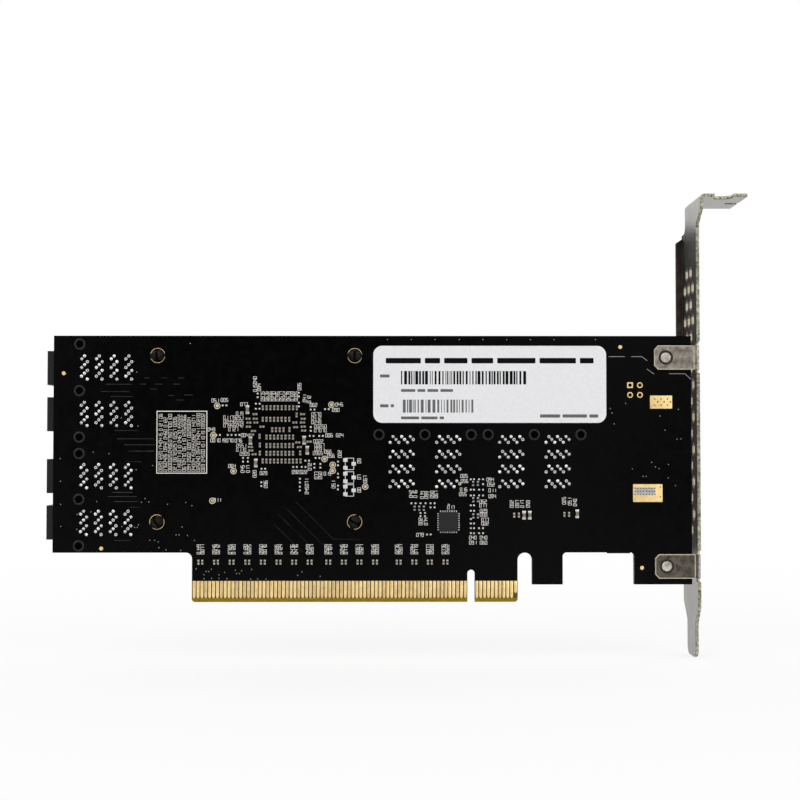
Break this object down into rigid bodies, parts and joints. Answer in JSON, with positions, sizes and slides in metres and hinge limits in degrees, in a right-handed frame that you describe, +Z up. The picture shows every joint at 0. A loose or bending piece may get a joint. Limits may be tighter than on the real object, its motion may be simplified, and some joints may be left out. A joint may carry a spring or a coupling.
{
  "type": "nvme adapter card",
  "caption": "Slot card with edge contacts, cable connectors at rear and top, a switch chip under a finned heatsink, and a vented full-height bracket.",
  "frame": {"origin": "middle of the key slot, at the foot of the edge contacts, half way through the board", "axes": "+X along the board towards the bracket, +Y out of the component side, +Z up from the slot"},
  "size_m": [0.1811, 0.0235, 0.12],
  "materials": {
    "solder_mask": "black solder mask, satin gloss",
    "contact_gold": "gold plated",
    "housing_plastic": "moulded dark grey",
    "wafer_plastic": "moulded, ribbed",
    "tinned_metal": "tinned",
    "bracket_steel": "nickel plated sheet",
    "screw_steel": "nickel plated",
    "chip_substrate": "green laminate",
    "chip_lid": "nickel plated",
    "thermal_pad": "soft grey",
    "heatsink_aluminium": "extruded, clear anodised",
    "push_pin_plastic": "moulded nylon",
    "spring_steel": "drawn wire",
    "label_paper": "satin white label",
    "capacitor_ceramic": "brown chip with tinned ends",
    "resistor_body": "black glaze with tinned ends",
    "chip_epoxy": "moulded epoxy",
    "inductor_core": "pressed metal powder",
    "tantalum_case": "moulded epoxy with a band",
    "oscillator_can": "welded lid"
  },
  "bodies": {
    "root": {"circuit_board": "solder_mask", "edge_contacts_solder_side": "contact_gold", "edge_contacts_component_side": "contact_gold", "connector_housing_rear_upper": "housing_plastic", "connector_housing_rear_lower": "housing_plastic", "connector_housing_top_left": "housing_plastic", "connector_housing_top_right": "housing_plastic", "contact_wafers_rear_upper": "wafer_plastic", "contact_wafers_rear_lower": "wafer_plastic", "contact_wafers_top_left": "wafer_plastic", "contact_wafers_top_right": "wafer_plastic", "pin_tails_rear_upper": "tinned_metal", "pin_tails_rear_lower": "tinned_metal", "pin_tails_top_left": "tinned_metal", "pin_tails_top_right": "tinned_metal", "bracket": "bracket_steel", "bracket_screws": "screw_steel", "switch_chip_substrate": "chip_substrate", "switch_chip_lid": "chip_lid", "thermal_pad": "thermal_pad", "heatsink": "heatsink_aluminium", "push_pins": "push_pin_plastic", "push_pin_springs": "spring_steel", "label": "label_paper", "decoupling_capacitors": "capacitor_ceramic", "coupling_capacitors": "capacitor_ceramic", "bulk_capacitors": "capacitor_ceramic", "chip_resistors": "resistor_body", "monitor_chip": "chip_epoxy", "power_inductors": "inductor_core", "tantalum_capacitors": "tantalum_case", "power_stages": "chip_epoxy", "clock_chip": "chip_epoxy", "oscillator": "oscillator_can", "memory_chip": "chip_epoxy", "memory_chip_leads": "tinned_metal"}
  },
  "joints": []
}
